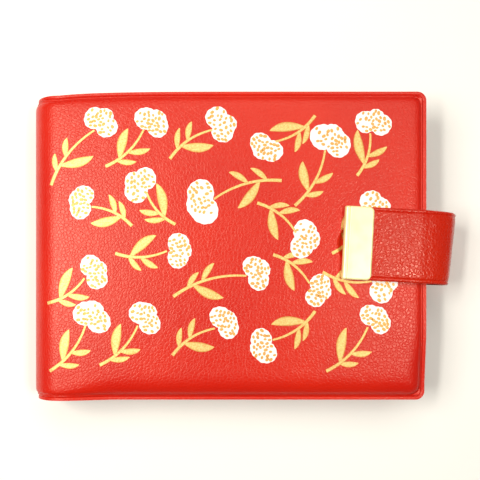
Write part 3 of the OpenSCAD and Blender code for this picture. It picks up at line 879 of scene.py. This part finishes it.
strap_vinyl = grained_vinyl(
    "strap_vinyl", (0.60, 0.018, 0.001, 1), (0.52, 0.009, 0.0006, 1), 0.26, 0.00005
)
for layer_name, top, bottom in (("outer", 0.0, STRAP_OUTER_T), ("inner", STRAP_OUTER_T, STRAP_T)):
    for k, stretch in enumerate(("low", "high", "tongue")):
        a, b = strap_cuts[k], strap_cuts[k + 1]
        if stretch == "tongue":
            crease = LEAD + LOOP + LOOP_X - CREASE_X
            near = [crease + d for d in (-2, -0.3, 0, 0.3, 2)]
            rows = np.append([a], spaced([a + 0.05] + near + [b], 0.8))
        else:
            rows = np.concatenate([[a], spaced([a + 0.05, b - 0.05], 0.6), [b]])

        def strap_place(s, y, side, copy):
            flat = np.where(side == 0, top, bottom)
            relief = strap_relief(s, y)
            return strap_at(s, -y, flat + np.where(flat == 0, relief, strap_sag(s)))

        obj = shell(f"strap_{layer_name}_{stretch}", rows, strap_across, strap_place)
        obj.data.materials.append(strap_vinyl)
        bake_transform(obj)
        stands_for = [f"strap_{stretch}_{layer_name}"]
        if stretch == "low" and layer_name == "outer":
            stands_for.append("strap_tail")
        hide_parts(*stands_for)

# ---- Clip -------------------------------------------------------------------
# Brass sheet folded over the strap's tip, pressed with a bead beside the fold and
# softened edges; the press stud's socket holds it to the strap.

CLIP_L, CLIP_HALF_W, CLIP_T, CLIP_CORNER_R = 10.9, 13.75, 0.5, 1.9
STRAP_TOP_Z, STRAP_UNDER_Z = 26.4, 24.8
CLIP_FLAT = CLIP_L - FOLD_R
FOLD = math.pi * FOLD_R
CLIP_PATH = 2 * CLIP_FLAT + FOLD


def clip_place(s, y, side, copy):
    dx = np.minimum(s, CLIP_PATH - s)
    dy = CLIP_HALF_W - np.abs(y)
    dx, dy = round_corner(dx, dy, CLIP_CORNER_R)
    edge = outline_distance(dx, dy, CLIP_CORNER_R)
    softened = 0.2 * (1 - smooth(0, 0.45, edge))
    bead = 0.22 * np.exp(-(((s - CLIP_FLAT + 0.7) / 0.2) ** 2))
    depth = np.where(side == 0, softened + bead, CLIP_T)
    turn = np.clip((s - CLIP_FLAT) / FOLD_R, 0, math.pi)
    x_top = TIP_X + CLIP_L - dx
    fold_x, fold_z = TIP_X + FOLD_R, (STRAP_TOP_Z + STRAP_UNDER_Z) / 2
    in_fold = (s >= CLIP_FLAT) & (s <= CLIP_FLAT + FOLD)
    x = np.where(in_fold, fold_x - (FOLD_R - depth) * np.sin(turn), x_top)
    z = fold_z + (FOLD_R - depth) * np.cos(turn)
    x, y = in_strap_frame(x, -np.copysign(CLIP_HALF_W - dy, y))
    return x, y, z


clip_steps = [0, 0.05, 0.12, 0.22, 0.35, 0.5, 0.8, 1.2, 1.9, 2.6]
clip_along = spaced(clip_steps + [CLIP_FLAT - 1.3], 0.8)
clip_along = np.append(clip_along, spaced([CLIP_FLAT - 1.2, CLIP_FLAT], 0.1))
clip_along = np.append(clip_along, spaced([CLIP_FLAT + 0.2, CLIP_FLAT + FOLD], 0.2))
clip_foot = [CLIP_PATH - e for e in reversed(clip_steps)]
clip_along = np.append(clip_along, spaced([CLIP_FLAT + FOLD + 0.8] + clip_foot, 0.8))
clip_across = [-CLIP_HALF_W + e for e in clip_steps]
clip_across = spaced(clip_across + [-c for c in reversed(clip_across)], 1.2)
clip = shell("clip", clip_along, clip_across, clip_place)
brass = metal(
    "brass", (1.0, 0.92, 0.48, 1), (0.97, 0.84, 0.38, 1), 0.34, 0.42, 700.0, (1, 0.06, 1), 0.45
)
clip.data.materials.append(brass)
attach(clip, "strap_tongue")
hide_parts("strap_clip")

# ---- Press stud -------------------------------------------------------------
# Brass stud riveted through the front cover over a steel washer, and a brass
# socket with a sprung steel ring, through the clip's lower leaf and the strap.

dress(brass, "snap_stud", "snap_socket")
dress(steel, "snap_washer", "snap_spring")

# ---- Floor, light and camera ------------------------------------------------
# White sweep, soft boxes behind and at both sides, camera straight above.

bpy.ops.mesh.primitive_plane_add(size=3, location=(0, 0, -0.0002))
floor = bpy.context.object
floor.name = "floor"
paper, tree, surface = new_material("paper_sweep")
place = add(tree, "ShaderNodeTexCoord").outputs["Object"]
tooth = add(tree, "ShaderNodeTexNoise", {"Vector": place, "Scale": 30.0, "Detail": 3.0})
tree.links.new(
    colour_mix(tree, tooth.outputs["Fac"], (0.93, 0.91, 0.86, 1), (0.95, 0.93, 0.885, 1)),
    surface.inputs["Base Color"],
)
surface.inputs["Roughness"].default_value = 0.9
surface.inputs["Specular IOR Level"].default_value = 0.2
floor.data.materials.append(paper)
floor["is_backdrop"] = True

world = bpy.data.worlds.new("room")
bpy.context.scene.world = world
world.use_nodes = True
world.node_tree.nodes["Background"].inputs["Color"].default_value = (1.0, 0.98, 0.95, 1)
world.node_tree.nodes["Background"].inputs["Strength"].default_value = 0.12
for name, spot, wide, deep, power in (
    ("box_behind", (0.10, 0.34, 0.57), 0.60, 0.28, 1.4),
    ("box_left", (-0.35, 0.04, 0.46), 0.34, 0.16, 1.2),
    ("strip_left", (-0.24, 0.03, 0.52), 0.30, 0.06, 1.6),
    ("spot_right", (0.24, -0.04, 0.54), 0.08, 0.08, 1.0),
):
    bpy.ops.object.light_add(type="AREA", location=spot)
    lamp = bpy.context.object
    lamp.name = name
    lamp.data.shape = "RECTANGLE"
    lamp.data.size, lamp.data.size_y, lamp.data.energy = wide, deep, power
    lamp.data.color = (1.0, 0.97, 0.90)
    lamp.rotation_euler = (-Vector(spot)).to_track_quat("-Z", "Y").to_euler()

bpy.ops.object.camera_add(location=(0.0049, -0.0164, 0.2440), rotation=(0, 0, 0))
camera = bpy.context.object
camera.data.lens, camera.data.sensor_width = 43.5, 36.0
camera.data.shift_y = 0.1025
camera.data.clip_start = 0.01
bpy.context.scene.camera = camera
bpy.context.scene.view_settings.view_transform = "Standard"

low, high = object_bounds()
